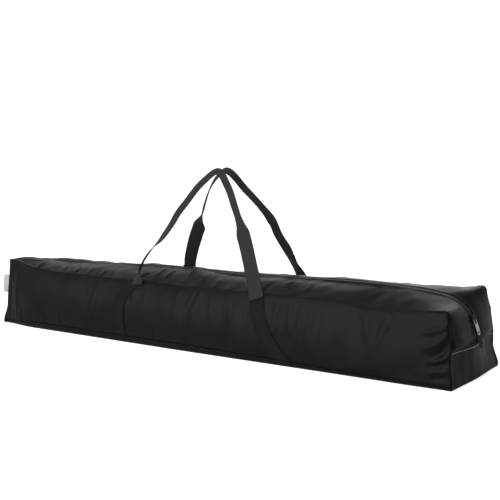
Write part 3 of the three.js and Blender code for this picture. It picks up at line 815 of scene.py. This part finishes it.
# Each handle's knots: x in mm, share of the height, width and thickness in mm, and the turn in degrees
# from lying in the handle's own leaning plane.
FRONT_HANDLE = [
    (-170, -0.035, 30, 3.0, 0), (-171, 0.015, 30, 2.6, 22), (-171, 0.07, 30, 1.7, 54),
    (-166, 0.17, 30, 1.6, 57), (-151, 0.28, 30, 1.6, 56), (-127, 0.4, 29, 1.7, 34),
    (-110, 0.52, 24, 2.2, 24), (-99, 0.62, 18, 2.9, 10), (-86, 0.7, 15.5, 3.2, 0), (-51, 0.9, 15, 3.2, 0),
    (-18, 1.0, 15, 3.2, 10), (16, 0.88, 15, 3.2, 5), (45, 0.71, 15, 3.2, 0), (63, 0.6, 15.5, 3.0, 0),
    (71, 0.55, 20, 2.4, 0), (79, 0.495, 29, 1.8, 0), (90, 0.42, 30, 1.6, 0), (115, 0.23, 30, 1.6, 0),
    (138, 0.05, 30, 1.6, 0), (147, -0.035, 30, 1.6, 0),
]
BACK_HANDLE = [
    (-188, -0.035, 30, 3.0, 0), (-183, 0.05, 30, 1.6, 0), (-167, 0.19, 30, 1.6, 0),
    (-139, 0.38, 30, 1.6, 0), (-126, 0.46, 28, 1.8, 5), (-119, 0.51, 19, 2.4, 35),
    (-112, 0.565, 14, 2.8, 66), (-95, 0.69, 14, 3.0, 74), (-79, 0.79, 14, 3.0, 70),
    (-51, 0.92, 15, 3.2, 62), (-20, 1.0, 15, 3.2, 60), (25, 0.82, 15, 3.2, 66), (58, 0.66, 15, 3.2, 62),
    (70, 0.59, 17, 3.0, 48), (77, 0.53, 20, 2.4, 8), (84, 0.42, 26, 1.8, -10), (99, 0.29, 29, 1.6, -12),
    (110, 0.15, 30, 1.6, -27), (119, 0.07, 30, 1.6, -18), (127, -0.035, 30, 1.6, 0),
]


def handle_piece(name, knots, back, material, start=0.0, end=1.0, lift=0.0, thin=1.0):
    """A carrying handle, or a second layer on part of it: a band along a smooth line in a leaning plane;
    its width, thickness and turn change along it, where the webbing is folded lengthwise for the grip."""
    knots = np.asarray(knots, float)
    sign = 1.0 if back else -1.0
    rows, count = int(230 * (end - start)) + 6, 28
    foot = np.array([0, sign * HANDLE_BASE_REACH, HANDLE_BASE])
    head = np.array([0, sign * HANDLE_TOP_REACH, HANDLE_TOP - 4 * MM])
    rise = head - foot
    middle = knots[:, :1] * MM * np.array([1.0, 0, 0]) + foot + knots[:, 1:2] * rise
    chord = lengths(middle)
    fine = np.linspace(chord[-1] * start, chord[-1] * end, rows)
    line = through(np.column_stack([chord, middle]), fine)
    width, thick, turn = through(np.column_stack([chord, knots[:, 2:]]), fine).T
    width, thick, turn = width * WEBBING_SHOWN / 30, thick * MM * thin, np.radians(turn)
    along = unit(np.gradient(line, axis=0))
    normal = np.broadcast_to(unit(np.cross([1.0, 0, 0], rise) * sign), along.shape)
    in_plane = np.cross(along, normal)
    across = in_plane * np.cos(turn)[:, None] + normal * np.sin(turn)[:, None]
    outward = np.cross(across, along)
    line = line + outward * lift
    a, t = ring(count)
    points = (line[:, None] + across[:, None] * (0.5 * width[:, None] * a[None])[..., None]
              + outward[:, None] * (0.5 * thick[:, None] * t[None])[..., None])
    return band_piece(name, points, fine, width, material)


def hang_handle(piece):
    """Bakes the piece's place into its mesh."""
    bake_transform(piece)


for half, knots in (("front", FRONT_HANDLE), ("back", BACK_HANDLE)):
    back = half == "back"
    handle = handle_piece(f"{half}_handle_webbing", knots, back, webbing_cloth)
    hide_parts(f"{half}_handle")
    hang_handle(handle)
    layer = handle_piece(f"{half}_handle_doubled_end", knots, back, webbing_cloth, 0.885, 1.0, -1.5 * MM, 0.9)
    hang_handle(layer)


# ---- Stitching -----------------------------------------------------------------------------
def stitches(name, rows, length, pitch, radius, material):
    """Rows of stitches as one piece: each is a small bead, its section a ring that narrows to both ends,
    laid along its row's line and half sunk in the cloth. Rows are (line, outward) pairs."""
    t = np.array([-1.0, -0.72, 0.72, 1.0])
    r = np.array([0.3, 1.0, 1.0, 0.3])
    sides = 5
    turn = np.linspace(0, 2 * math.pi, sides, endpoint=False)
    points = []
    for line, outward in rows:
        travelled = lengths(line)
        place = np.arange(pitch / 2, travelled[-1] - pitch / 4, pitch)
        centre = np.stack([np.interp(place, travelled, line[:, k]) for k in range(3)], -1)
        tangent = unit(np.stack([np.interp(place, travelled, np.gradient(line[:, k], travelled))
                                 for k in range(3)], -1))
        out = unit(np.stack([np.interp(place, travelled, outward[:, k]) for k in range(3)], -1))
        side = unit(np.cross(tangent, out))
        out = np.cross(side, tangent)
        spread = (side[:, None, None] * np.cos(turn)[None, None, :, None]
                  + out[:, None, None] * np.sin(turn)[None, None, :, None])
        bead = (centre[:, None, None] + tangent[:, None, None] * (0.5 * length * t)[None, :, None, None]
                + spread * (radius * r)[None, :, None, None] + out[:, None, None] * (0.3 * radius))
        points.append(bead.reshape(-1, len(t) * sides, 3))
    points = np.concatenate(points)
    one = grid_faces(len(t), sides, True, closed=True)
    one.append(list(range(sides)))
    one.append(list(range((len(t) - 1) * sides, len(t) * sides))[::-1])
    size = len(t) * sides
    faces = [[v + k * size for v in face] for k in range(len(points)) for face in one]
    piece = mesh_object(name, points, faces)
    piece.data.materials.append(material)
    return piece


def grid_row(made, row):
    """One row of a panel's grid as a line, with directions that point away from the bag's middle."""
    points = made[1]
    normal = unit(np.cross(np.gradient(points, axis=0), np.gradient(points, axis=1)))
    normal = normal * np.sign((normal * (points - np.array([0, 0, 0.07]))).sum(-1).mean())
    return points[row, 2:-2], normal[row, 2:-2]


def strap_rows(knots, back):
    """The stitch lines of a sewn strap: one along each edge, and a crossed box at the top."""
    lift = WEBBING_THICK + 0.15 * MM
    side = np.array([0, 1.0, 0]) if back else np.array([0, -1.0, 0])
    top = (139 if back else 130) * MM
    box = top - 22 * MM
    lines = []
    for a in (-0.82, 0.82):
        z = np.linspace(12 * MM, top, 60)
        lines.append(strap_face(knots, np.full(60, a), z, lift, back))
    for z0, z1 in ((top, top), (box, box), (box, top), (top, box)):
        lines.append(strap_face(knots, np.linspace(-0.7, 0.7, 30), np.linspace(z0, z1, 30), lift, back))
    return [(line, np.broadcast_to(side, line.shape)) for line in lines]


panel_rows = [grid_row(front_made, -4), grid_row(back_made, -4)]
for made in (top_front_made, top_back_made):
    panel_rows += [grid_row(made, 3), grid_row(made, -5)]
strap_stitches = []
for place, knots in STRAPS.items():
    strap_stitches += strap_rows(knots, place.startswith("back"))
for name, rows, length, pitch, radius, thread in (
        ("panel_stitches", panel_rows, 2.6 * MM, 3.5 * MM, 0.34 * MM, black_thread),
        ("strap_stitches", strap_stitches, 2.6 * MM, 3.5 * MM, 0.38 * MM, black_thread),
        # The level seam's light grey stitches paint the highlight along that fold.
        ("level_seam_stitches", [grid_row(lower_made, -6)], 3.6 * MM, 4.2 * MM, 0.65 * MM, seam_highlight_thread)):
    thread_piece = stitches(name, rows, length, pitch, radius, thread)
    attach(thread_piece, "bag")


# ---- Label and the tab at the zip's end ----------------------------------------------------
def small_sheet(name, corner, wide, tall, material, thick, bow, body, node, flip=False):
    """A small flat piece from a corner along two directions, bowed along its width by a half sine."""
    u, v = np.meshgrid(np.linspace(0, 1, 22), np.linspace(0, 1, 30))
    corner, wide, tall, bow = (np.asarray(w, float) for w in (corner, wide, tall, bow))
    points = corner + u[..., None] * wide + v[..., None] * tall
    points = points + (np.sin(math.pi * u) * 0.6 + np.sin(math.pi * v) * 0.4)[..., None] * bow
    flat = np.stack([u * np.linalg.norm(wide), v * np.linalg.norm(tall)], -1)
    piece = cloth_piece(name, points, flat, material, flip=flip, thick=thick)
    return finish_sheet((piece, points), node, body=body)


label_size = label_high - label_low
small_sheet("side_label_cloth", (LEFT_END + 5 * MM, label_high.y - 4 * MM, label_low.z),
            (-label_size.x, -3 * MM, 0), (0, 3 * MM, label_size.z), label_cloth, 0.5 * MM,
            (0, -1.5 * MM, 0), "bag", "side_label", flip=True)
tab_size = tab_high - tab_low
small_sheet("zip_end_tab_cloth", (tab_high.x - 0.5 * MM, tab_low.y - 1 * MM, tab_low.z - 1 * MM),
            (4 * MM, tab_size.y, 0), (-3 * MM, 0, tab_size.z), tape_cloth, 1.2 * MM,
            (1.0 * MM, -0.5 * MM, 0), "bag", "zip_end_tab")

# ---- CAD parts that keep their shape get their finishes -------------------------------------
FINISHES = {"zip_metal": pull_metal, "black_tube": tube_black, "silver_tube": tube_silver,
            "black_plastic": plastic_black, "black_rubber": rubber_black}


def dress(node, material):
    """Gives every material slot of a CAD node the same finish."""
    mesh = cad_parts[node].data
    if not mesh.materials:
        mesh.materials.append(material)
    for i in range(len(mesh.materials)):
        mesh.materials[i] = material


for node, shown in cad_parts.items():
    given = shown.data.materials[0].name.split(".")[0] if shown.data.materials else ""
    dress(node, FINISHES.get(given, webbing_cloth if given == "webbing" else plastic_black))
dress("zip_slider", slider_metal)
dress("zip_pull", pull_metal)


# ---- Stage, light and camera ---------------------------------------------------------------
FLOOR_GLOW = 0.02
WALL_GLOW = 1.5


def stage_bowl():
    """The floor and backdrop in one: flat out to 5 m, then curving up, a line turned about the middle."""
    radius = np.concatenate([[0.01, 1.0, 2.5, 4.0], 5.0 + 3.0 * np.sin(np.linspace(0, math.pi / 2, 16))])
    height = np.concatenate([[0, 0, 0, 0], 3.0 * (1 - np.cos(np.linspace(0, math.pi / 2, 16)))])
    turn = np.linspace(0, 2 * math.pi, 72, endpoint=False)
    x = radius[:, None] * np.cos(turn)[None]
    y = radius[:, None] * np.sin(turn)[None]
    z = np.repeat(height[:, None], len(turn), 1) - 0.3 * MM
    points = np.stack([x, y, z], -1)
    faces = grid_faces(len(radius), len(turn), flip=False, closed=True)
    faces.append(list(range(len(turn)))[::-1])
    piece = mesh_object("floor", points, faces)
    paint = Nodes("white_floor", Roughness=0.9, Specular_IOR_Level=0.1)
    paint.shader.inputs["Base Color"].default_value = (0.60, 0.60, 0.60, 1)
    paint.shader.inputs["Emission Color"].default_value = (1, 1, 1, 1)
    place = paint.add("ShaderNodeTexCoord").outputs["Object"]
    level = paint.add("ShaderNodeSeparateXYZ", ("Vector", place)).outputs["Z"]
    seen = paint.add("ShaderNodeLightPath").outputs["Is Camera Ray"]
    wall = paint.add("ShaderNodeMapRange", ("Value", level), ("From Min", 0.1), ("From Max", 0.8),
                     ("To Min", FLOOR_GLOW), ("To Max", WALL_GLOW)).outputs["Result"]
    sideways = paint.tree.nodes["Separate XYZ"].outputs["X"]
    shaded = paint.add("ShaderNodeMapRange", ("Value", sideways), ("From Min", -1.0), ("From Max", 2.2),
                       ("To Min", 1.0), ("To Max", 0.05)).outputs["Result"]
    raised = paint.add("ShaderNodeMapRange", ("Value", sideways), ("From Min", -5.2), ("From Max", -2.4),
                       ("To Min", 0.35), ("To Max", 1.7)).outputs["Result"]
    wall = paint.math("MULTIPLY", paint.math("MULTIPLY", wall, shaded), raised)
    glow = paint.add("ShaderNodeMix", (0, seen), (2, wall), (3, 0.78)).outputs[0]
    paint.set("Emission Strength", glow)
    piece.data.materials.append(paint.material)
    return piece


stage_bowl()


def softbox(name, place, aim, size, power):
    """A large square light at a place, facing a point."""
    lamp = bpy.data.lights.new(name, "AREA")
    lamp.shape = "RECTANGLE"
    lamp.size, lamp.size_y = size
    lamp.energy = power
    light = bpy.data.objects.new(name, lamp)
    bpy.context.scene.collection.objects.link(light)
    place, aim = np.asarray(place, float), np.asarray(aim, float)
    back = unit(place - aim)
    right = unit(np.cross([0, 0, 1.0], back) if abs(back[2]) < 0.99 else np.array([1.0, 0, 0]))
    up = np.cross(back, right)
    matrix = np.eye(4)
    matrix[:3, 0], matrix[:3, 1], matrix[:3, 2], matrix[:3, 3] = right, up, back, place
    light.matrix_world = Matrix(matrix.tolist())
    return light


softbox("overhead_softbox", (0.1, -0.4, 2.4), (0, 0, 0), (2.2, 1.4), 27)
softbox("front_softbox", (-0.4, -2.2, 1.45), (0, 0, 0.1), (2.2, 0.9), 76)

world = bpy.data.worlds.new("studio_white")
world.use_nodes = True
background = world.node_tree.nodes["Background"]
background.inputs["Color"].default_value = (1, 1, 1, 1)
background.inputs["Strength"].default_value = 0.35
bpy.context.scene.world = world
bpy.context.scene.view_settings.view_transform = "Standard"

VIEW_AZIMUTH, VIEW_ELEVATION = math.radians(34.04), math.radians(8.05)
VIEW_RIGHT, VIEW_UP, VIEW_DISTANCE = 46.31 * MM, 203.6 * MM, 2.6501
right = np.array([math.cos(VIEW_AZIMUTH), math.sin(VIEW_AZIMUTH), 0])
toward = np.array([math.sin(VIEW_AZIMUTH) * math.cos(VIEW_ELEVATION),
                   -math.cos(VIEW_AZIMUTH) * math.cos(VIEW_ELEVATION), math.sin(VIEW_ELEVATION)])
up = np.cross(toward, right)
lens = bpy.data.cameras.new("studio_camera")
lens.sensor_width = 36.0
lens.lens = 36.0 * 1200 / 500
camera = bpy.data.objects.new("studio_camera", lens)
bpy.context.scene.collection.objects.link(camera)
stand = np.eye(4)
stand[:3, 0], stand[:3, 1], stand[:3, 2] = right, up, toward
stand[:3, 3] = right * VIEW_RIGHT + up * VIEW_UP + toward * VIEW_DISTANCE
camera.matrix_world = Matrix(stand.tolist())
bpy.context.scene.camera = camera

bpy.context.view_layer.update()
